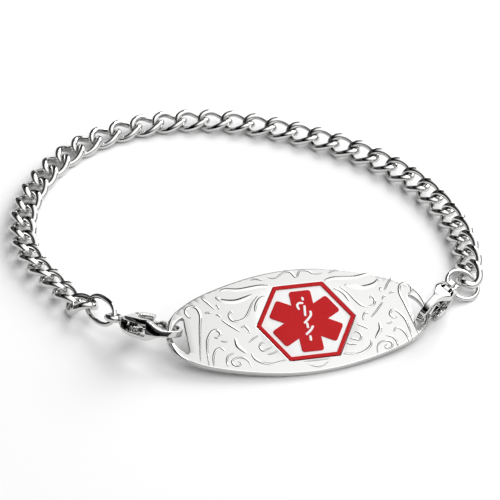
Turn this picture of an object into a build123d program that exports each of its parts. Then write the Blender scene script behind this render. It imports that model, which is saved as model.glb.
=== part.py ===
"""Medical alert bracelet: curb chain, two lobster clasps, rings and a plate with an enamel emblem."""
from build123d import *
import os
import math

os.makedirs("parts", exist_ok=True)

# Where the layout's own zero lies from the middle of the whole bracelet, mm
origin_x, origin_y = -1.327, 3.251

# Chain links, mm and degrees
link_pitch = 4.0
link_half_length = 2.63
link_half_width = 1.76
link_wire = 1.08
link_twist = 45.0
link_stations = 16
link_sides = 6
link_count = 37

# Turn from one link to the next along the chain: link number, degrees
turns = [(0, 18), (2, 0), (4, -10.5), (8, -6), (13, -9), (18, -8.1), (23, -3.2), (28, -6.2), (32, -5.7), (36, -5.1)]
# How far each link's outer edge is raised: link number, degrees
rolls = [(0, 15), (6, 12), (12, 12), (18, 15), (24, 22), (30, 30), (36, 34)]
# The link that fixes where the chain lies: number, x, y, heading
middle_link, middle_x, middle_y, middle_heading = 19, -6.136, 36.972, -5.5

# The first link stands up at the left end: x, y, z, heading, roll, pitch
first_link = (-25.71, -17.24, 1.92, 140.2, -4.4, -21.0)

# Plate, mm: lengths are along it, heights across it, from the emblem's centre
plate_middle = (-1.0, 0.25)
plate_thickness = 0.9
plate_bend_radius = 300.0
plate_outline = [(0, 9.05), (4, 8.8), (7.5, 8.2), (11.1, 7.3), (15.1, 5.9), (18, 4.1), (19.5, 2.3), (20.05, 0)]
slot_left = (-18.1, 3.35, -3.1, -20.2)
slot_right = (16.4, 3.0, -3.7, 18.3)
slot_corner = 0.3
plate_centre = (8.381, -23.80, 3.965)
plate_along = (0.97872, 0.20462, -0.01528)
plate_normal = (0.08631, -0.34299, 0.93537)

# Emblem, mm
emblem_radius = 7.53
emblem_inner_radius = 6.83
emblem_depth = 0.30
emblem_gap = 0.02
field_height = 0.18
star_height = 0.10
star_reach = 5.35
star_arm_width = 3.35
staff_height = 0.06
staff_length = 8.4
staff_width = 0.55
snake_width = 0.5

# Rings, mm
oval_half_length, oval_half_width, oval_wire = 3.15, 1.75, 0.75
oval_place = (-22.43, -20.25, 3.24, -51.2, 53.1, 3.8)
jump_radius, jump_wire = 2.6, 0.7
jump_centre = (32.85, -11.52, 1.52)
jump_normal = (0.322, -0.312, 0.894)

# Clasp, mm: x runs from the eye's centre to the hook, y to the gate's side
eye_radius, eye_wire = 1.05, 0.84
body_thickness = 2.0
hook_thickness = 1.0
lever_thickness = 0.92
lever_slot = 1.06
pivot_x, pivot_y = 3.2, 0.5
rivet_radius = 0.40
rivet_hole = 0.42
lever_bore = 0.45
gate_reach = 4.82
tip_reach = 4.94
outer_side = [(1.1, -0.75), (2.5, -2.1), (4.4, -2.95), (6.9, -3.2), (9.2, -2.8), (10.65, -1.65), (11.1, -0.1),
              (10.7, 1.25), (9.85, 2.2), (8.6, 2.6), (7.6, 2.75)]
inner_side = [(7.6, 2.0), (8.5, 2.0), (9.5, 1.8), (10.15, 1.1), (10.35, -0.2), (9.95, -1.25), (8.9, -2.0), (6.8, -2.2),
              (5.0, -1.75), (4.15, -0.7), (4.2, 0.5), (4.9, 1.3), (6.4, 1.6)]
shoulder = [(6.4, 2.7), (4.4, 2.3), (2.6, 1.5), (1.1, 0.7)]

# Clasps' places: eye centre, axis to the hook, direction of the flat face
left_clasp = ((-20.34, -22.68, 3.64), (0.925, -0.380, 0.021), (0.147, 0.407, 0.901))
right_clasp = ((31.24, -13.41, 1.49), (-0.514, -0.826, 0.230), (0.752, -0.563, -0.344))


def layout(x, y, z):
    """A point of the layout, seen from the middle of the bracelet."""
    return (x - origin_x, y - origin_y, z)


def between(table, n):
    """The value at n in a table of (number, value), on straight lines."""
    for (n0, v0), (n1, v1) in zip(table, table[1:]):
        if n <= n1:
            return v0 + (v1 - v0) * (n - n0) / (n1 - n0)
    return table[-1][1]


def turned(x, y, z, heading, roll, pitch=0.0):
    """Where something goes: rolled about its length, pitched up, then headed round."""
    place = Location(layout(x, y, z)) * Location((0, 0, 0), (0, 0, heading))
    return place * Location((0, 0, 0), (0, -pitch, 0)) * Location((0, 0, 0), (roll, 0, 0))


def link_centre_line(t):
    """A curb link's centre line: an ellipse twisted about its length."""
    x = link_half_length * math.cos(t)
    y = link_half_width * math.sin(t)
    a = -math.radians(link_twist) * math.cos(t)
    return Vector(x, y * math.cos(a), y * math.sin(a))


def link_solid():
    """One link as flat facets round its centre line."""
    rings = []
    for i in range(link_stations):
        t = 2 * math.pi * i / link_stations
        centre = link_centre_line(t)
        along = (link_centre_line(t + 0.01) - link_centre_line(t - 0.01)).normalized()
        out = (centre - along * centre.dot(along)).normalized()
        side = along.cross(out)
        angles = [2 * math.pi * (k + 0.5) / link_sides for k in range(link_sides)]
        r = link_wire / 2
        rings.append([centre + out * (r * math.cos(a)) + side * (r * math.sin(a)) for a in angles])
    faces = []
    for i in range(link_stations):
        here, there = rings[i], rings[(i + 1) % link_stations]
        for k in range(link_sides):
            m = (k + 1) % link_sides
            faces.append(Face(Wire.make_polygon([here[k], here[m], there[m]])))
            faces.append(Face(Wire.make_polygon([here[k], there[m], there[k]])))
    return Solid(Shell(faces))


# Chain: each link's heading from the turns, then its place from the pitch
headings = [0.0]
for n in range(1, link_count):
    headings.append(headings[-1] + between(turns, n - 0.5))
headings = [h - headings[middle_link] + middle_heading for h in headings]
places = [(0.0, 0.0)]
for n in range(1, link_count):
    mean = math.radians((headings[n] + headings[n - 1]) / 2)
    x, y = places[-1]
    places.append((x + link_pitch * math.cos(mean), y + link_pitch * math.sin(mean)))
shift_x = middle_x - places[middle_link][0]
shift_y = middle_y - places[middle_link][1]

one_link = link_solid()
for n in range(link_count):
    roll = between(rolls, n)
    lowest = one_link.moved(Location((0, 0, 0), (roll, 0, 0))).bounding_box().min.Z
    where = turned(places[n][0] + shift_x, places[n][1] + shift_y, -lowest, headings[n], roll)
    if n == 0:
        where = turned(*first_link)
    with BuildPart() as chain_link:
        add(one_link.moved(where))
    chain_link.part.label = "chain_link_%02d" % (n + 1)
    export_step(chain_link.part, "parts/chain_link_%02d.step" % (n + 1))

# Plate: outline, bend, slots and the emblem's recess, built flat on the emblem's centre
mid_u, mid_v = plate_middle
quarter = plate_outline
ring = [(x, y) for x, y in quarter]
ring += [(x, -y) for x, y in reversed(quarter[:-1])]
ring += [(-x, -y) for x, y in quarter[1:]]
ring += [(-x, y) for x, y in reversed(quarter[1:-1])]
ring = [(x + mid_u, y + mid_v) for x, y in ring]
with BuildPart() as plate_blank:
    with BuildSketch():
        with BuildLine():
            Spline(*ring, periodic=True)
        make_face()
    extrude(amount=4, both=True)
    with BuildSketch(Plane.XZ):
        with Locations((mid_u, -plate_bend_radius)):
            Circle(plate_bend_radius)
            Circle(plate_bend_radius - plate_thickness, mode=Mode.SUBTRACT)
    extrude(amount=20, both=True, mode=Mode.INTERSECT)
    for straight, top, bottom, curved in (slot_left, slot_right):
        with BuildSketch():
            with BuildLine():
                Line((straight, bottom), (straight, top))
                ThreePointArc((straight, top), (curved, (top + bottom) / 2), (straight, bottom))
            make_face()
            fillet(vertices(), slot_corner)
        extrude(amount=4, both=True, mode=Mode.SUBTRACT)
    with BuildSketch(Plane.XY.offset(-emblem_depth)):
        RegularPolygon(emblem_radius + emblem_gap, 6)
    extrude(amount=4, mode=Mode.SUBTRACT)
plate_place = Plane(layout(*plate_centre), x_dir=plate_along, z_dir=plate_normal).location
with BuildPart() as id_plate:
    add(plate_blank.part.moved(plate_place))
id_plate.part.label = "id_plate"
export_step(id_plate.part, "parts/id_plate.step")

# Emblem: frame, field, star and staff lie one on the other in the recess
with BuildPart() as frame_shape:
    with BuildSketch(Plane.XY.offset(-emblem_depth)):
        RegularPolygon(emblem_radius, 6)
        RegularPolygon(emblem_inner_radius, 6, mode=Mode.SUBTRACT)
    extrude(amount=emblem_depth)
with BuildPart() as emblem_frame:
    add(frame_shape.part.moved(plate_place))
emblem_frame.part.label = "emblem_frame"
export_step(emblem_frame.part, "parts/emblem_frame.step")

with BuildPart() as field_shape:
    with BuildSketch(Plane.XY.offset(-emblem_depth)):
        RegularPolygon(emblem_inner_radius - emblem_gap, 6)
    extrude(amount=field_height)
with BuildPart() as emblem_field:
    add(field_shape.part.moved(plate_place))
emblem_field.part.label = "emblem_field"
export_step(emblem_field.part, "parts/emblem_field.step")

star_base = -emblem_depth + field_height
with BuildPart() as star_shape:
    with BuildSketch(Plane.XY.offset(star_base)):
        with PolarLocations(0, 3, start_angle=90, angular_range=180):
            Rectangle(2 * star_reach, star_arm_width)
    extrude(amount=star_height)
with BuildPart() as emblem_star:
    add(star_shape.part.moved(plate_place))
emblem_star.part.label = "emblem_star"
export_step(emblem_star.part, "parts/emblem_star.step")

with BuildPart() as staff_shape:
    with BuildSketch(Plane.XY.offset(star_base + star_height)):
        Rectangle(staff_width, staff_length)
        with Locations((0, staff_length / 2)):
            Circle(staff_width * 0.8)
        with BuildLine() as snake:
            Spline((1.1, 3.1), (-0.9, 1.9), (1.2, 0.3), (-1.1, -1.3), (0.5, -2.9))
        trace(line_width=snake_width)
    extrude(amount=staff_height)
with BuildPart() as emblem_staff:
    add(staff_shape.part.moved(plate_place))
emblem_staff.part.label = "emblem_staff"
export_step(emblem_staff.part, "parts/emblem_staff.step")

# Oval ring between the chain and the left clasp
with BuildPart() as oval_shape:
    straight = oval_half_length - oval_half_width
    with BuildLine() as oval_path:
        Line((-straight, oval_half_width), (straight, oval_half_width))
        RadiusArc((straight, oval_half_width), (straight, -oval_half_width), oval_half_width)
        Line((straight, -oval_half_width), (-straight, -oval_half_width))
        RadiusArc((-straight, -oval_half_width), (-straight, oval_half_width), oval_half_width)
    with BuildSketch(Plane((0, oval_half_width, 0), z_dir=(1, 0, 0))):
        Circle(oval_wire / 2)
    sweep(path=oval_path.wires()[0])
with BuildPart() as oval_ring:
    add(oval_shape.part.moved(turned(*oval_place)))
oval_ring.part.label = "oval_ring"
export_step(oval_ring.part, "parts/oval_ring.step")

# Jump ring between the chain and the right clasp
with BuildPart() as jump_ring:
    add(Solid.make_torus(jump_radius, jump_wire / 2, Plane(layout(*jump_centre), z_dir=jump_normal)))
jump_ring.part.label = "jump_ring"
export_step(jump_ring.part, "parts/jump_ring.step")

# Clasp body: the outline cut to a tapering thickness, with the eye, the lever's slot and the rivet's hole
with BuildPart() as body_shape:
    with BuildSketch():
        with BuildLine():
            Spline(*outer_side)
            Line(outer_side[-1], inner_side[0])
            Spline(*inner_side)
            Line(inner_side[-1], shoulder[0])
            Spline(*shoulder)
            Line(shoulder[-1], outer_side[0])
        make_face()
    extrude(amount=body_thickness / 2, both=True)
    with BuildSketch(Plane.XZ):
        with BuildLine():
            Polyline((0.6, -0.42), (1.3, -0.42), (2.6, -1.0), (6.4, -1.0), (9.0, -hook_thickness / 2),
                     (12, -hook_thickness / 2), (12, hook_thickness / 2), (9.0, hook_thickness / 2),
                     (6.4, 1.0), (2.6, 1.0), (1.3, 0.42), (0.6, 0.42), close=True)
        make_face()
    extrude(amount=6, both=True, mode=Mode.INTERSECT)
    add(Solid.make_torus(eye_radius, eye_wire / 2))
    with Locations(((1.9 + 6.6) / 2, 0, 0)):
        Box(6.6 - 1.9, 9, lever_slot, mode=Mode.SUBTRACT)
    with Locations((pivot_x, pivot_y)):
        Cylinder(rivet_hole, 4, mode=Mode.SUBTRACT)
    with BuildSketch(Plane.XY.offset(-2)):
        with Locations((pivot_x, pivot_y)):
            Circle(tip_reach)
        with Locations((7.4, 3.0)):
            Rectangle(3.4, 3.4, mode=Mode.INTERSECT)
    extrude(amount=4, mode=Mode.SUBTRACT)

# Lever: thumb tab, arm through the body's slot and the gate that meets the hook's tip
with BuildPart() as lever_shape:
    with BuildSketch():
        with BuildLine():
            Polyline((2.5, 0.2), (3.0, -0.9), (4.2, -2.6), (4.5, -4.1), (5.9, -4.1), (6.3, -3.3), (5.2, -2.3),
                     (4.0, -0.4), (4.4, 0.9), (6.5, 1.65), (9.5, 2.0), (9.5, 2.75), (6.5, 2.7), (3.6, 1.7),
                     (2.7, 1.2), close=True)
        make_face()
    extrude(amount=lever_thickness / 2, both=True)
    with BuildSketch():
        with BuildLine():
            Polyline((6.75, 1.67), (9.5, 2.0), (9.5, 2.75), (6.75, 2.71), close=True)
        make_face()
    extrude(amount=0.7, both=True)
    with BuildSketch(Plane.XY.offset(-2)):
        with Locations((pivot_x, pivot_y)):
            Circle(gate_reach)
    extrude(amount=4, mode=Mode.INTERSECT)
    with Locations((pivot_x, pivot_y)):
        Cylinder(lever_bore, 4, mode=Mode.SUBTRACT)

with BuildPart() as rivet_shape:
    with Locations((pivot_x, pivot_y)):
        Cylinder(rivet_radius, body_thickness + 0.08)

left_plane = Plane(layout(*left_clasp[0]), x_dir=left_clasp[1], z_dir=left_clasp[2]).location
right_plane = Plane(layout(*right_clasp[0]), x_dir=right_clasp[1], z_dir=right_clasp[2]).location

with BuildPart() as left_clasp_body:
    add(body_shape.part.moved(left_plane))
left_clasp_body.part.label = "left_clasp_body"
export_step(left_clasp_body.part, "parts/left_clasp_body.step")

with BuildPart() as left_clasp_lever:
    add(lever_shape.part.moved(left_plane))
left_clasp_lever.part.label = "left_clasp_lever"
export_step(left_clasp_lever.part, "parts/left_clasp_lever.step")

with BuildPart() as left_clasp_rivet:
    add(rivet_shape.part.moved(left_plane))
left_clasp_rivet.part.label = "left_clasp_rivet"
export_step(left_clasp_rivet.part, "parts/left_clasp_rivet.step")

with BuildPart() as right_clasp_body:
    add(body_shape.part.moved(right_plane))
right_clasp_body.part.label = "right_clasp_body"
export_step(right_clasp_body.part, "parts/right_clasp_body.step")

with BuildPart() as right_clasp_lever:
    add(lever_shape.part.moved(right_plane))
right_clasp_lever.part.label = "right_clasp_lever"
export_step(right_clasp_lever.part, "parts/right_clasp_lever.step")

with BuildPart() as right_clasp_rivet:
    add(rivet_shape.part.moved(right_plane))
right_clasp_rivet.part.label = "right_clasp_rivet"
export_step(right_clasp_rivet.part, "parts/right_clasp_rivet.step")
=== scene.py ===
import bpy
import bmesh
import math
from mathutils import Matrix, Vector


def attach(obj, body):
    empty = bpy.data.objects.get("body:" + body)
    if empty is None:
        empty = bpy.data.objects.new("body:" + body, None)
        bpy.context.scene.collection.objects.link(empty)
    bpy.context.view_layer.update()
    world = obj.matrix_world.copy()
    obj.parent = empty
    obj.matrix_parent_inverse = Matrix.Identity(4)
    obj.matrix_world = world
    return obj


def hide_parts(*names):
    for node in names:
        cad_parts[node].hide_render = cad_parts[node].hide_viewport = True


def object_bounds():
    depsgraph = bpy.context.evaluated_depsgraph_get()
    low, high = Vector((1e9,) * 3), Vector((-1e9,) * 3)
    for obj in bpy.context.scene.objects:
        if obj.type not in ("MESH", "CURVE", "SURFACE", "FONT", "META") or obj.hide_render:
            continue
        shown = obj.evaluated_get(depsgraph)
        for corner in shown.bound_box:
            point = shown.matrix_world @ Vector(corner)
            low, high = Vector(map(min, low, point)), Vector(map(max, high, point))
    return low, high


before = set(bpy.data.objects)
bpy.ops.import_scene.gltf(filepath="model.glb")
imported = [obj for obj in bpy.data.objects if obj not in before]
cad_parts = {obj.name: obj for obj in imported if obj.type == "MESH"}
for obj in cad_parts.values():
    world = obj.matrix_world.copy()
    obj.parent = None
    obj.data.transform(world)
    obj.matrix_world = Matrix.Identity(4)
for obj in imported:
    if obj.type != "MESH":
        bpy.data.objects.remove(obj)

cad_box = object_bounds()


# Identification plate. It is blanked from stainless sheet a little under a millimetre thick, slotted at both
# ends for the clasps and bent a little to the wrist. The buff that polishes it rounds its edges over.
mm = 0.001
middle = Vector((-1.327, 3.251, 0.0))  # of the bracelet's outline, in the drawing's own millimetres
plate_centre = Vector((8.381, -23.80, 3.965)) - middle
plate_along = Vector((0.97872, 0.20462, -0.01528)).normalized()
plate_up = Vector((0.08631, -0.34299, 0.93537)).normalized()
plate_across = plate_up.cross(plate_along)
plate_frame = Matrix((plate_along, plate_across, plate_up)).transposed().to_4x4()
plate_frame.translation = plate_centre
plate_middle = (-1.0, 0.25)
plate_thickness = 0.9
plate_bend = 300.0
edge_round = 0.16
rim_points = 200
# One quarter of the outline from the middle of the long edge to the end, seen from the plate's middle
quarter = [(0, 9.05), (4, 8.8), (7.5, 8.2), (11.1, 7.3), (15.1, 5.9), (18, 4.1), (19.5, 2.3), (20.05, 0)]
# Each slot: its straight side, top, bottom and the top of its arc
slots = [(-18.1, 3.35, -3.1, -20.2), (16.4, 3.0, -3.7, 18.3)]
slot_corner = 0.3
# The recess that takes the emblem, and the floor that closes it
recess_radius = 7.55
floor_overlap = 1.03
floor_drop = 0.32
floor_thickness = 0.56
floor_round = 0.02


def spline_point(a, b, c, d, t):
    """The point at t, from 0 at b to 1 at c, on a smooth curve through a, b, c and d."""
    return tuple(0.5 * (2 * q + (r - p) * t + (2 * p - 5 * q + 4 * r - w) * t * t
                        + (3 * q - p - 3 * r + w) * t ** 3)
                 for p, q, r, w in zip(a, b, c, d))


def smooth_loop(points, count):
    """Points evenly spread on a closed smooth curve through the given ones."""
    n = len(points)
    loop = []
    for i in range(count):
        s = i * n / count
        k, t = int(s), s - int(s)
        loop.append(spline_point(*(points[(k + j) % n] for j in (-1, 0, 1, 2)), t))
    return loop


def hexagon(radius):
    """A hexagon's corners, the first to the right."""
    angles = [math.radians(60 * k) for k in range(6)]
    return [(radius * math.cos(a), radius * math.sin(a)) for a in angles]


def slot_loop(straight, top, bottom, curved, corner=slot_corner, steps=18):
    """A D-shaped slot: a straight side and an arc, with rounded corners."""
    half, rise = (top - bottom) / 2, abs(curved - straight)
    radius = (half * half + rise * rise) / (2 * rise)
    side = 1 if curved > straight else -1
    centre_x, centre_y = curved - side * radius, (top + bottom) / 2
    sweep = math.asin(half / radius)
    arc = [(-sweep + 2 * sweep * i / steps) * 0.93 for i in range(steps + 1)]
    loop = [(centre_x + side * radius * math.cos(a), centre_y + radius * math.sin(a)) for a in arc]
    loop.append((straight + side * corner * 0.35, top - corner * 0.9))
    loop.append((straight, top - corner * 1.9))
    loop.append((straight, bottom + corner * 1.9))
    loop.append((straight + side * corner * 0.35, bottom + corner * 0.9))
    return loop


def flat_outline(name, loops, depth, rounding):
    """A filled flat curve with thickness depth, its upper face at zero and its edges rounded over."""
    curve = bpy.data.curves.new(name, "CURVE")
    curve.dimensions = "2D"
    curve.fill_mode = "BOTH"
    curve.offset = -rounding
    curve.extrude = depth / 2 - rounding
    curve.bevel_depth = rounding
    curve.bevel_resolution = 3
    for loop in loops:
        spline = curve.splines.new("POLY")
        spline.points.add(len(loop) - 1)
        for point, (x, y) in zip(spline.points, loop):
            point.co = (x, y, 0, 1)
        spline.use_cyclic_u = True
    drawn = bpy.data.objects.new(name + "_drawing", curve)
    bpy.context.scene.collection.objects.link(drawn)
    bpy.context.view_layer.update()
    mesh = bpy.data.meshes.new_from_object(drawn.evaluated_get(bpy.context.evaluated_depsgraph_get()))
    bpy.data.objects.remove(drawn)
    mesh.transform(Matrix.Translation((0, 0, -depth / 2)))
    return mesh


def bent_to_plate(mesh, spacing=1.0, lift=0.0):
    """Cuts a flat mesh across at every spacing, bends it to the plate's curve and lays it on the plate."""
    shape = bmesh.new()
    shape.from_mesh(mesh)
    bmesh.ops.remove_doubles(shape, verts=shape.verts, dist=0.0005)
    high = max(v.co.x for v in shape.verts)
    cut = min(v.co.x for v in shape.verts) + spacing
    while cut < high:
        everything = shape.verts[:] + shape.edges[:] + shape.faces[:]
        bmesh.ops.bisect_plane(shape, geom=everything, plane_co=(cut, 0, 0), plane_no=(1, 0, 0))
        cut += spacing
    for v in shape.verts:
        v.co.z += lift - (v.co.x - plate_middle[0]) ** 2 / (2 * plate_bend)
    bmesh.ops.transform(shape, matrix=Matrix.Scale(mm, 4) @ plate_frame, verts=shape.verts)
    bmesh.ops.recalc_face_normals(shape, faces=shape.faces)
    shape.to_mesh(mesh)
    shape.free()
    mesh.shade_smooth()


def mesh_object(name, mesh):
    """A mesh as an object in the scene."""
    piece = bpy.data.objects.new(name, mesh)
    bpy.context.scene.collection.objects.link(piece)
    return piece


def linear(hex_colour):
    """An sRGB hex colour as linear values for a shader's socket."""
    parts = [int(hex_colour[i:i + 2], 16) / 255 for i in (1, 3, 5)]
    return tuple(c / 12.92 if c <= 0.04045 else ((c + 0.055) / 1.055) ** 2.4 for c in parts) + (1.0,)


def node(material, kind, links=(), **settings):
    """Adds one node: its settings by name or socket, then its links as (from, output, to, input)."""
    added = material.node_tree.nodes.new(kind)
    for name, value in settings.items():
        if hasattr(added, name):
            setattr(added, name, value)
        else:
            added.inputs[name.replace("_", " ")].default_value = value
    for source, output, target, entry in links:
        source, target = source or added, target or added
        material.node_tree.links.new(source.outputs[output], target.inputs[entry])
    return added


# Stainless steel, buffed on a mop: a bright neutral metal with a very clear reflection. The buff's scratches,
# a few hundredths of a millimetre apart, are too fine to show, so the haze comes and goes in wider patches.
steel_colour = "#D1D1D0"
steel_roughness = 0.07
least_haze, most_haze = 0.6, 1.6
haze_patch = 7.0 * mm
steel = bpy.data.materials.new("polished_stainless_steel")
steel.use_nodes = True
steel_shader = steel.node_tree.nodes["Principled BSDF"]
steel_shader.inputs["Base Color"].default_value = linear(steel_colour)
steel_shader.inputs["Metallic"].default_value = 1.0
steel_place = node(steel, "ShaderNodeTexCoord")
steel_haze = node(steel, "ShaderNodeTexNoise", [(steel_place, "Object", None, "Vector")],
                  Scale=1 / haze_patch, Detail=3.0)
node(steel, "ShaderNodeMapRange",
     [(steel_haze, "Fac", None, "Value"), (None, "Result", steel_shader, "Roughness")],
     To_Min=steel_roughness * least_haze, To_Max=steel_roughness * most_haze)

rim = list(quarter)
rim += [(x, -y) for x, y in reversed(quarter[:-1])]
rim += [(-x, -y) for x, y in quarter[1:]]
rim += [(-x, y) for x, y in reversed(quarter[1:-1])]
rim = smooth_loop([(x + plate_middle[0], y + plate_middle[1]) for x, y in rim], rim_points)
plate_loops = [rim, hexagon(recess_radius)] + [slot_loop(*s) for s in slots]
plate_mesh = flat_outline("plate", plate_loops, plate_thickness, edge_round)
bent_to_plate(plate_mesh)
plate = mesh_object("plate", plate_mesh)
plate.data.materials.append(steel)
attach(plate, "bracelet")
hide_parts("id_plate")

floor_loop = [(x * floor_overlap, y * floor_overlap) for x, y in hexagon(recess_radius)]
floor_mesh = flat_outline("plate_back", [floor_loop], floor_thickness, floor_round)
bent_to_plate(floor_mesh, 2.0, -floor_drop)
plate_back = mesh_object("plate_back", floor_mesh)
plate_back.data.materials.append(steel)
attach(plate_back, "bracelet")


# Scrollwork. It is struck into the plate's steel face with a die: fine stems, curls and leaves that stand a
# tenth of a millimetre proud with rounded shoulders, and a raised strip outside each slot. The right half is
# a mirror of the left.
relief_height = 0.10
mirror = -0.98
# Each stroke: its greatest width, and the points of its line on the plate
strokes = [
    (0.46, [(-16.8, -4.6), (-16.4, -2.0), (-15.9, 1.0), (-15.5, 3.2), (-15.9, 4.6), (-16.9, 4.9),
            (-17.6, 4.2), (-17.3, 3.2), (-16.8, 3.0)]),
    (0.44, [(-15.7, -5.5), (-15.5, -3.0), (-15.2, -1.3), (-14.4, 0.0), (-13.6, 0.3), (-13.1, -0.4),
            (-13.6, -1.1), (-14.1, -0.9)]),
    (0.40, [(-15.0, -5.7), (-14.8, -4.2), (-14.2, -3.1), (-13.4, -2.9), (-13.0, -3.5)]),
    (0.34, [(-14.8, 6.1), (-14.0, 5.1), (-13.2, 3.9)]),
    (0.30, [(-14.8, 3.5), (-14.3, 3.5), (-13.8, 3.3)]),
    (0.30, [(-13.2, 2.9), (-12.8, 2.8), (-12.5, 2.3)]),
    (0.28, [(-12.9, 4.6), (-12.6, 4.3), (-12.6, 3.8)]),
    (0.34, [(-12.5, 1.9), (-11.4, 0.7), (-10.1, -0.6)]),
    (0.26, [(-13.3, -1.7), (-12.7, -1.9), (-12.2, -1.9)]),
    (0.80, [(-12.7, 6.0), (-11.8, 5.2), (-10.0, 4.8), (-8.5, 5.1), (-7.2, 5.6)]),
    (0.64, [(-11.9, 6.9), (-11.0, 7.1), (-9.0, 6.75), (-6.0, 6.95), (-4.8, 6.8), (-4.3, 6.7)]),
    (0.42, [(-10.6, 2.7), (-10.9, 3.1), (-11.3, 2.5), (-11.0, 1.6), (-10.1, 1.3), (-9.0, 1.7),
            (-8.2, 2.8), (-7.4, 4.2), (-6.4, 5.3)]),
    (0.52, [(-7.3, 2.6), (-6.9, 3.8), (-6.2, 4.7), (-5.4, 5.1)]),
    (0.34, [(-9.9, 0.1), (-9.3, 0.3), (-8.9, -0.3), (-8.7, -1.0)]),
    (0.60, [(-11.1, -1.6), (-11.0, -2.8), (-10.5, -3.6), (-9.9, -4.3)]),
    (0.30, [(-9.2, -2.6), (-8.4, -2.0), (-7.6, -1.6)]),
    (0.46, [(-9.2, -4.4), (-8.9, -5.4), (-8.0, -6.2), (-6.6, -6.7), (-5.2, -6.5), (-4.4, -6.35)]),
    (0.34, [(-6.8, -3.0), (-7.4, -2.9), (-7.8, -3.6), (-7.4, -4.3), (-6.6, -4.1), (-5.9, -3.8)]),
    (0.30, [(-6.9, -5.0), (-6.0, -4.9), (-5.2, -4.6)]),
    (0.34, [(-11.4, -5.5), (-11.0, -5.9), (-11.4, -6.3), (-12.1, -6.0), (-12.2, -5.3), (-11.4, -4.9),
            (-10.4, -5.1), (-9.8, -5.9), (-9.6, -6.9)]),
    (0.34, [(-13.0, -6.1), (-13.0, -5.2), (-12.6, -4.4), (-11.6, -4.0)]),
    (0.30, [(-7.0, 8.2), (-6.2, 8.3), (-5.1, 7.9)]),
]
# The strokes that have no mirror: above and below the emblem, then the strips outside the slots
middle_strokes = [
    (0.34, [(-4.4, 8.5), (-3.8, 8.1), (-3.0, 8.1), (-2.2, 8.6), (-1.6, 8.9), (-0.7, 8.8), (0.0, 7.8),
            (0.8, 8.8), (1.9, 8.75), (2.6, 8.2), (3.5, 8.0), (4.3, 8.1)]),
    (0.26, [(-1.8, -6.95), (0.3, -6.95), (2.4, -6.95)]),
    (0.24, [(-1.3, -7.4), (-0.5, -7.9), (0.3, -8.1), (1.1, -7.9), (1.8, -7.4)]),
    (0.46, [(-18.6, 4.6), (-19.5, 3.6), (-20.2, 2.2), (-20.62, 0.25), (-20.2, -1.8), (-19.5, -3.2),
            (-18.4, -4.3)]),
    (0.42, [(16.9, 4.4), (17.9, 3.2), (18.45, 1.8), (18.68, 0.0), (18.4, -1.6), (17.8, -2.9),
            (16.8, -4.0)]),
]
strokes += [(width, [(mirror * x, y) for x, y in line]) for width, line in strokes] + middle_strokes
# A stroke's section as (place across its half width, share of the relief's height)
half_section = [(-1.0, -0.05), (-0.84, 0.12), (-0.62, 0.5), (-0.4, 0.88), (-0.2, 1.0)]
section = half_section + [(-across, height) for across, height in reversed(half_section)]
taper_power = 0.45
end_height = 0.4


def stroke_line(points, per_span=7):
    """Points close together on a smooth curve through the given ones."""
    dense = []
    for i in range(len(points) - 1):
        a, b = points[max(i - 1, 0)], points[i]
        c, d = points[i + 1], points[min(i + 2, len(points) - 1)]
        dense += [spline_point(a, b, c, d, k / per_span) for k in range(per_span)]
    return dense + [points[-1]]


def steps_aside(line):
    """At each point of a line, the step of length one to its left."""
    steps = []
    for i in range(len(line)):
        x0, y0 = line[max(i - 1, 0)]
        x1, y1 = line[min(i + 1, len(line) - 1)]
        run = math.hypot(x1 - x0, y1 - y0)
        steps.append((-(y1 - y0) / run, (x1 - x0) / run))
    return steps


relief = bmesh.new()
for width, line in strokes:
    dense = stroke_line(line)
    rows = []
    for i, ((x, y), (nx, ny)) in enumerate(zip(dense, steps_aside(dense))):
        full = math.sin(math.pi * (i + 0.4) / (len(dense) - 0.2)) ** taper_power
        half_width = full * width / 2
        height = relief_height * (end_height + (1 - end_height) * full)
        rows.append([relief.verts.new((x + nx * s * half_width, y + ny * s * half_width, height * h))
                     for s, h in section])
    for here, there in zip(rows, rows[1:]):
        for k in range(len(section) - 1):
            relief.faces.new((here[k], there[k], there[k + 1], here[k + 1]))
relief_mesh = bpy.data.meshes.new("scrollwork")
relief.to_mesh(relief_mesh)
relief.free()
bent_to_plate(relief_mesh, 50.0)
scrollwork = mesh_object("scrollwork", relief_mesh)
scrollwork.data.materials.append(steel)
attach(scrollwork, "bracelet")


# Emblem. Vitreous enamel fired into a stamped recess: a red frame round a white field, with the common
# six-armed medical star in red and a staff with a snake in white, each slightly pillowed at its edges.
frame_outer, frame_inner, field_radius = 7.53, 6.86, 6.84
star_reach = 5.35
star_arm = 3.35
star_corner = 0.45
staff_width = 0.36
# The staff's stretches and the snake's turns that cross it
staff_strokes = [
    [(0.2, 4.0), (0.22, 3.7)],
    [(-0.72, 2.15), (-0.85, 2.75), (-0.5, 3.15), (0.0, 3.1)],
    [(0.22, 2.5), (0.02, 0.95)],
    [(0.92, 1.45), (0.85, 0.85), (0.3, 0.2), (-0.3, -0.35)],
    [(0.02, -0.55), (0.0, -1.2)],
    [(0.75, -1.15), (0.3, -1.75), (-0.42, -2.35)],
    [(0.03, -2.8), (0.0, -3.4)],
]
# Fired enamel, coloured glass melted onto the steel: an even, deep colour under a clear gloss. Each colour
# clouds by a few shades over a couple of millimetres, and its mirroring is held low, as photographed.
enamel_cloud = 2.5 * mm
enamel_roughness = 0.12
enamel_ior = 1.5
enamel_mirroring = 0.14


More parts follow.
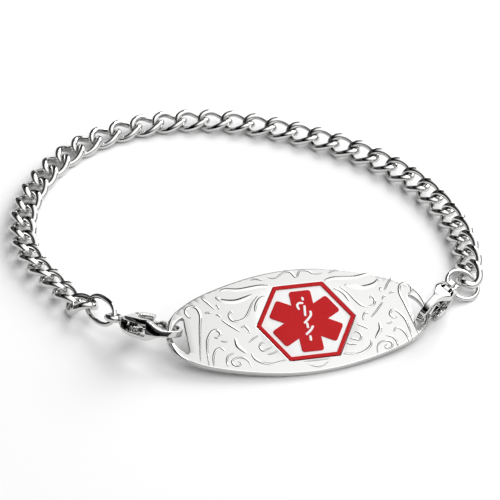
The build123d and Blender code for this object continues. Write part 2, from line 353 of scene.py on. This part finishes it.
def fired_enamel(name, darker, lighter):
    """Enamel whose colour clouds between two hex values."""
    enamel = bpy.data.materials.new(name)
    enamel.use_nodes = True
    shader = enamel.node_tree.nodes["Principled BSDF"]
    shader.inputs["Roughness"].default_value = enamel_roughness
    shader.inputs["IOR"].default_value = enamel_ior
    shader.inputs["Specular IOR Level"].default_value = enamel_mirroring
    place = node(enamel, "ShaderNodeTexCoord")
    cloud = node(enamel, "ShaderNodeTexNoise", [(place, "Object", None, "Vector")],
                 Scale=1 / enamel_cloud, Detail=2.0)
    mix = node(enamel, "ShaderNodeMix", [(cloud, "Fac", None, "Factor")], data_type="RGBA")
    mix.inputs["A"].default_value = linear(darker)
    mix.inputs["B"].default_value = linear(lighter)
    enamel.node_tree.links.new(mix.outputs["Result"], shader.inputs["Base Color"])
    return enamel


def star_loop():
    """The six-armed star's outline, its arms' corners rounded."""
    loop = []
    half = star_arm / 2
    inner = half / math.tan(math.radians(30))
    for k in range(6):
        a = math.radians(30 + 60 * k)
        along, aside = (math.cos(a), math.sin(a)), (-math.sin(a), math.cos(a))
        marks = [(inner, -half)]
        for start, side in ((-90, -1), (0, 1)):
            for turn in range(5):
                b = math.radians(start + 22.5 * turn)
                marks.append((star_reach - star_corner + star_corner * math.cos(b),
                              side * (half - star_corner) + star_corner * math.sin(b)))
        loop += [(along[0] * x + aside[0] * y, along[1] * x + aside[1] * y) for x, y in marks]
    return loop


def stroke_loop(points, width):
    """The outline of a stroke with round ends, as wide as width."""
    dense = stroke_line(points, 4)
    steps = steps_aside(dense)
    left = [(x + nx * width / 2, y + ny * width / 2) for (x, y), (nx, ny) in zip(dense, steps)]
    right = [(x - nx * width / 2, y - ny * width / 2) for (x, y), (nx, ny) in zip(dense, steps)]
    caps = []
    for end, side in ((dense[-1], left[-1]), (dense[0], right[0])):
        start = math.atan2(side[1] - end[1], side[0] - end[0])
        caps.append([(end[0] + width / 2 * math.cos(start - math.pi * k / 6),
                      end[1] + width / 2 * math.sin(start - math.pi * k / 6)) for k in range(1, 6)])
    return left + caps[0] + right[::-1] + caps[1]


red_enamel = fired_enamel("fired_red_enamel", "#B90D14", "#C2161C")
white_enamel = fired_enamel("fired_white_enamel", "#F1F1F1", "#FAFAFA")
frame_loops = [hexagon(frame_outer), hexagon(frame_inner)]
staff_loops = [stroke_loop(points, staff_width) for points in staff_strokes]
# Each piece: its outlines, depth, edge rounding, lift over the plate's face, enamel and the enamel's slot
emblem_pieces = {
    "emblem_frame": (frame_loops, 0.34, 0.05, 0.05, red_enamel, "red_enamel"),
    "emblem_field": ([hexagon(field_radius)], 0.20, 0.02, -0.10, white_enamel, "white_enamel"),
    "emblem_star": ([star_loop()], 0.18, 0.05, 0.0, red_enamel, "red_enamel"),
    "emblem_staff": (staff_loops, 0.12, 0.03, 0.05, white_enamel, "white_enamel"),
}
for cad_node, (loops, depth, rounding, lift, enamel, slot_name) in emblem_pieces.items():
    mesh = flat_outline(cad_node + "_enamel", loops, depth, rounding)
    bent_to_plate(mesh, 1.5, lift)
    piece = mesh_object(cad_node + "_enamel", mesh)
    piece.data.materials.append(enamel)
    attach(piece, "bracelet")
    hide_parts(cad_node)


# Chain. Curb links coiled from round stainless wire, soldered, then twisted so that each lies flat against
# the next, and tumbled bright. Each link here is one smooth ring of wire on the line that its solid follows.
link_pitch = 4.0
link_half_length, link_half_width, link_wire, link_twist = 2.63, 1.76, 1.12, 45.0
# Tables by link number: the turn from the last link and the roll about the chain's line, in degrees
turns = [(0, 18), (2, 0), (4, -10.5), (8, -6), (13, -9), (18, -8.1), (23, -3.2), (28, -6.2), (32, -5.7),
         (36, -5.1)]
rolls = [(0, 15), (6, 12), (12, 12), (18, 15), (24, 22), (30, 30), (36, 34)]
middle_link, middle_place, middle_heading = 19, (-6.136, 36.972), -5.5
link_count = 37
# The first link is lifted by the oval ring: x, y, z, heading, roll and pitch
first_link = (-25.71, -17.24, 1.92, 140.2, -4.4, -21.0)


def between(table, n):
    """The value at n in a table of (number, value), on straight lines."""
    for (n0, v0), (n1, v1) in zip(table, table[1:]):
        if n <= n1:
            return v0 + (v1 - v0) * (n - n0) / (n1 - n0)
    return table[-1][1]


def placed(x, y, z, heading, roll, pitch=0.0):
    """Rolled about its length, pitched up, headed round and set down, in metres."""
    turn = Matrix.Rotation(math.radians(heading), 4, "Z") @ Matrix.Rotation(math.radians(-pitch), 4, "Y")
    turn = turn @ Matrix.Rotation(math.radians(roll), 4, "X")
    return Matrix.Scale(mm, 4) @ Matrix.Translation(Vector((x, y, z)) - middle) @ turn


def wire_ring(line, radius, stations=72, sides=16):
    """A closed ring of round wire: line(t) gives its centre for t from 0 to 1."""
    shape = bmesh.new()
    rings = []
    for i in range(stations):
        centre = line(i / stations)
        along = (line((i + 0.2) / stations) - line((i - 0.2) / stations)).normalized()
        out = (centre - along * centre.dot(along)).normalized()
        side = along.cross(out)
        angles = [2 * math.pi * k / sides for k in range(sides)]
        rings.append([shape.verts.new(centre + out * (radius * math.cos(a)) + side * (radius * math.sin(a)))
                      for a in angles])
    for i in range(stations):
        here, there = rings[i], rings[(i + 1) % stations]
        for k in range(sides):
            m = (k + 1) % sides
            shape.faces.new((here[k], here[m], there[m], there[k]))
    bmesh.ops.recalc_face_normals(shape, faces=shape.faces)
    mesh = bpy.data.meshes.new("wire")
    shape.to_mesh(mesh)
    shape.free()
    mesh.shade_smooth()
    return mesh


def link_line(t):
    """A curb link's centre line: an ellipse twisted about its length."""
    a = 2 * math.pi * t
    twist = -math.radians(link_twist) * math.cos(a)
    y = link_half_width * math.sin(a)
    return Vector((link_half_length * math.cos(a), y * math.cos(twist), y * math.sin(twist)))


headings = [0.0]
for n in range(1, link_count):
    headings.append(headings[-1] + between(turns, n - 0.5))
headings = [h - headings[middle_link] + middle_heading for h in headings]
places = [(0.0, 0.0)]
for n in range(1, link_count):
    mean = math.radians((headings[n] + headings[n - 1]) / 2)
    places.append((places[-1][0] + link_pitch * math.cos(mean), places[-1][1] + link_pitch * math.sin(mean)))
shift_x = middle_place[0] - places[middle_link][0]
shift_y = middle_place[1] - places[middle_link][1]
link_mesh = wire_ring(link_line, link_wire / 2)
for n in range(link_count):
    roll = between(rolls, n)
    leaned = Matrix.Rotation(math.radians(roll), 4, "X")
    lowest = min((leaned @ v.co).z for v in link_mesh.vertices)
    place = placed(places[n][0] + shift_x, places[n][1] + shift_y, -lowest, headings[n], roll)
    if n == 0:
        place = placed(*first_link)
    mesh = link_mesh.copy()
    mesh.transform(place)
    link = mesh_object("curb_link_%02d" % (n + 1), mesh)
    link.data.materials.append(steel)
    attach(link, "bracelet")
    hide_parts("chain_link_%02d" % (n + 1))


# Connecting rings. The left one is a long oval of round stainless wire, the right one a round jump ring.
# Both are cut from a coil, closed through the chain's end links and the clasps' eyes, and tumbled bright.
oval_half_length, oval_half_width, oval_wire = 3.15, 1.78, 0.75
oval_fullness = 0.86
oval_place = (-22.43, -20.25, 3.24, -51.2, 53.1, 3.8)
jump_radius, jump_wire = 2.6, 0.7
jump_centre, jump_normal = (32.85, -11.52, 1.52), (0.322, -0.312, 0.894)


def oval_line(t):
    """An oval a little fuller than an ellipse."""
    a = 2 * math.pi * t
    c, d = math.cos(a), math.sin(a)
    return Vector((oval_half_length * math.copysign(abs(c) ** oval_fullness, c),
                   oval_half_width * math.copysign(abs(d) ** oval_fullness, d), 0))


def jump_line(t):
    """A circle."""
    return Vector((jump_radius * math.cos(2 * math.pi * t), jump_radius * math.sin(2 * math.pi * t), 0))


jump_turn = Vector(jump_normal).to_track_quat("Z", "Y").to_matrix().to_4x4()
jump_place = Matrix.Scale(mm, 4) @ Matrix.Translation(Vector(jump_centre) - middle) @ jump_turn
connecting_rings = [
    ("oval_connecting_ring", oval_line, oval_wire, placed(*oval_place), "oval_ring"),
    ("round_jump_ring", jump_line, jump_wire, jump_place, "jump_ring"),
]
for name, line, wire, place, cad_node in connecting_rings:
    mesh = wire_ring(line, wire / 2, 96, 20)
    mesh.transform(place)
    ring_piece = mesh_object(name, mesh)
    ring_piece.data.materials.append(steel)
    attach(ring_piece, "bracelet")
    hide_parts(cad_node)


# Clasps. Lobster clasps, investment-cast in stainless steel and barrel polished, each with a sprung lever on
# a rivet. A solid is grown into one skin of fine cells and smoothed the way tumbling wears an edge. The cast
# bodies are rounder and fuller than the solids, with a roof over the lever's slot and ribs on the thumb tab.
cast_cell = 0.075
body_wear, lever_wear = 9, 3
# In the clasp's own frame, x from its eye to its hook and z through its flat: cheeks, arm and eye are fuller
cheek_swell, cheek_middle, cheek_length = 0.42, 4.4, 2.4
arm_swell, arm_middle, arm_length, arm_side = 0.50, 7.2, 1.5, -1.2
eye_swell, eye_length = 0.22, 1.2
crown, crown_middle, crown_length, crown_side = 0.30, 5.6, 3.6, -1.0
roof_middle, roof_reach = (4.25, 1.35, 0), (2.45, 1.62, 1.12)
roof_cut, roof_cut_side = (3.6, 1.80, 0), (-0.367, 0.930, 0)
rib_places = [(4.62, -4.12), (4.98, -4.14), (5.34, -4.14), (5.70, -4.10)]
rib_radius, rib_length = 0.13, 0.9
lowest_cast = 0.02
clasp_places = {"left": ((-20.34, -22.68, 3.64), (0.925, -0.380, 0.021), (0.147, 0.407, 0.901)),
                "right": ((31.24, -13.41, 1.49), (-0.514, -0.826, 0.230), (0.752, -0.563, -0.344))}


def clasp_to_world(eye, axis, flat):
    """A clasp's own frame in the scene, from its eye's place, the way to its hook and its flat's normal."""
    along, upward = Vector(axis).normalized(), Vector(flat).normalized()
    aside = upward.cross(along).normalized()
    clasp_frame = Matrix((along, aside, along.cross(aside))).transposed().to_4x4()
    clasp_frame.translation = Vector(eye) - middle
    return Matrix.Scale(mm, 4) @ clasp_frame


def add_roof(mesh, local):
    """Adds the roof over the lever's slot: an ellipsoid cut flat on the gate's side."""
    roof = bmesh.new()
    bmesh.ops.create_uvsphere(roof, u_segments=40, v_segments=24, radius=1.0)
    stretched = Matrix.Translation(roof_middle) @ Matrix.Diagonal((*roof_reach, 1))
    bmesh.ops.transform(roof, matrix=stretched, verts=roof.verts)
    everything = roof.verts[:] + roof.edges[:] + roof.faces[:]
    cut = bmesh.ops.bisect_plane(roof, geom=everything, plane_co=roof_cut, plane_no=roof_cut_side,
                                 clear_inner=True)
    cut_edges = [g for g in cut["geom_cut"] if isinstance(g, bmesh.types.BMEdge)]
    bmesh.ops.contextual_create(roof, geom=cut_edges)
    bmesh.ops.transform(roof, matrix=local, verts=roof.verts)
    roof.from_mesh(mesh)
    roof.to_mesh(mesh)
    roof.free()


def add_ribs(mesh, local):
    """Adds the grip ribs on the lever's thumb tab."""
    ribs = bmesh.new()
    ribs.from_mesh(mesh)
    for x, y in rib_places:
        place = local @ Matrix.Translation((x, y, 0)) @ Matrix.Scale(1 / mm, 4)
        bmesh.ops.create_cone(ribs, cap_ends=True, segments=16, radius1=rib_radius * mm,
                              radius2=rib_radius * mm, depth=rib_length * mm, matrix=place)
    ribs.to_mesh(mesh)
    ribs.free()


def tumbled(rough, passes):
    """The rough piece as one skin of fine cells, its edges worn round. The rough piece is removed."""
    remesh = rough.modifiers.new("cells", "REMESH")
    remesh.mode = "VOXEL"
    remesh.voxel_size = cast_cell * mm
    wear = rough.modifiers.new("wear", "SMOOTH")
    wear.factor = 0.5
    wear.iterations = passes
    bpy.context.view_layer.update()
    mesh = bpy.data.meshes.new_from_object(rough.evaluated_get(bpy.context.evaluated_depsgraph_get()))
    bpy.data.objects.remove(rough)
    return mesh


def fill_out(mesh, local):
    """Makes a body's cheeks, arm and eye thicker, crowns the arm's outer side and stays off the table."""
    inward = local.inverted()
    for v in mesh.vertices:
        x, y, z = inward @ v.co
        swell = 1 + cheek_swell * math.exp(-((x - cheek_middle) / cheek_length) ** 2)
        on_arm = min(max(arm_side - y, 0), 1)
        swell += arm_swell * math.exp(-((x - arm_middle) / arm_length) ** 2) * on_arm
        swell += eye_swell * math.exp(-(x / eye_length) ** 4)
        outer = min(max(crown_side - y, 0), 1) * math.exp(-((x - crown_middle) / crown_length) ** 4)
        y -= crown * outer * max(1 - z * z, 0)
        v.co = local @ Vector((x, y, z * swell))
        v.co.z = max(v.co.z, lowest_cast * mm)


for side, place in clasp_places.items():
    local = clasp_to_world(*place)
    for part_name in ("body", "lever"):
        cad_name = "%s_clasp_%s" % (side, part_name)
        cad_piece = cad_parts[cad_name]
        rough = mesh_object("rough", cad_piece.data.copy())
        rough.data.transform(cad_piece.matrix_world)
        if part_name == "body":
            add_roof(rough.data, local)
            cast_mesh = tumbled(rough, body_wear)
            fill_out(cast_mesh, local)
        else:
            add_ribs(rough.data, local)
            cast_mesh = tumbled(rough, lever_wear)
        cast_mesh.shade_smooth()
        cast = mesh_object("%s_cast_%s" % (side, part_name), cast_mesh)
        cast.data.materials.clear()
        cast.data.materials.append(steel)
        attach(cast, "bracelet" if part_name == "body" else side + "_lever")
        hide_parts(cad_name)
    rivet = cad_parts[side + "_clasp_rivet"]
    rivet.data.materials.clear()
    rivet.data.materials.append(steel)


# Photographer's table. A sheet of matt white acrylic that runs out of sight under the bracelet, seen by a
# long lens from a little above.
photo_elevation = 35.23
photo_distance = 312.0
focal_pixels, frame_pixels = 1950.8, 500
film_width = 36.0
camera_data = bpy.data.cameras.new("camera")
camera_data.sensor_width = film_width
camera_data.lens = film_width * focal_pixels / frame_pixels
camera = bpy.data.objects.new("camera", camera_data)
bpy.context.scene.collection.objects.link(camera)
climb = math.radians(photo_elevation)
away = Vector((0, -math.cos(climb), math.sin(climb)))
camera.location = (away * photo_distance - middle) * mm
camera.rotation_euler = (math.radians(90 - photo_elevation), 0, 0)
bpy.context.scene.camera = camera

table_reach = 1.5
table_drop = 0.02 * mm
corners = [(-1, -1), (1, -1), (1, 1), (-1, 1)]
table_mesh = bpy.data.meshes.new("table")
table_mesh.from_pydata([(x * table_reach, y * table_reach, 0) for x, y in corners], [], [(0, 1, 2, 3)])
table = mesh_object("table", table_mesh)
table.location.z = cad_box[0][2] - table_drop
# Cast acrylic with a sanded face: a plain near-white with no gloss to speak of
white_acrylic = bpy.data.materials.new("white_acrylic_table")
white_acrylic.use_nodes = True
acrylic_shader = white_acrylic.node_tree.nodes["Principled BSDF"]
acrylic_shader.inputs["Base Color"].default_value = linear("#FBFBFB")
acrylic_shader.inputs["Roughness"].default_value = 0.6
table.data.materials.append(white_acrylic)


# Studio light. One soft box stands behind to the right. Round the table hangs a light tent, brightest
# overhead and dark in a low band, and that band draws the black lines in the polished wire.
key_place = (0.38, 0.46, 0.40)
key_width = 0.50
key_power = 4.3
key_data = bpy.data.lights.new("key", "AREA")
key_data.shape = "RECTANGLE"
key_data.size, key_data.size_y = key_width, key_width
key_data.energy = key_power
key = bpy.data.objects.new("key", key_data)
bpy.context.scene.collection.objects.link(key)
key.location = key_place
key.rotation_euler = (-Vector(key_place)).to_track_quat("-Z", "Y").to_euler()

tent_axis = (0.42, -0.26, 0.87)
tent_strength = 2.08
# The tent's grey by how far a direction points along its axis
tent_greys = [(0.0, 0.03), (0.1, 0.10), (0.16, 0.0), (0.42, 0.0), (0.56, 0.05), (0.68, 0.24), (0.785, 0.54),
              (0.88, 0.74), (1.0, 0.92)]
tent = bpy.data.worlds.new("tent")
bpy.context.scene.world = tent
tent.use_nodes = True
tent_cloth = tent.node_tree.nodes["Background"]
tent_place = node(tent, "ShaderNodeTexCoord")
tent_height = node(tent, "ShaderNodeVectorMath", [(tent_place, "Generated", None, 0)],
                   operation="DOT_PRODUCT")
tent_height.inputs[1].default_value = tent_axis
tent_fall = node(tent, "ShaderNodeValToRGB",
                 [(tent_height, "Value", None, "Fac"), (None, "Color", tent_cloth, "Color")])
ramp = tent_fall.color_ramp
while len(ramp.elements) < len(tent_greys):
    ramp.elements.new(0.5)
for element, (position, grey) in zip(ramp.elements, tent_greys):
    element.position = position
    element.color = (grey, grey, grey, 1)
tent_cloth.inputs["Strength"].default_value = tent_strength
bpy.context.scene.view_settings.view_transform = "Standard"
bpy.context.scene.view_settings.look = "None"
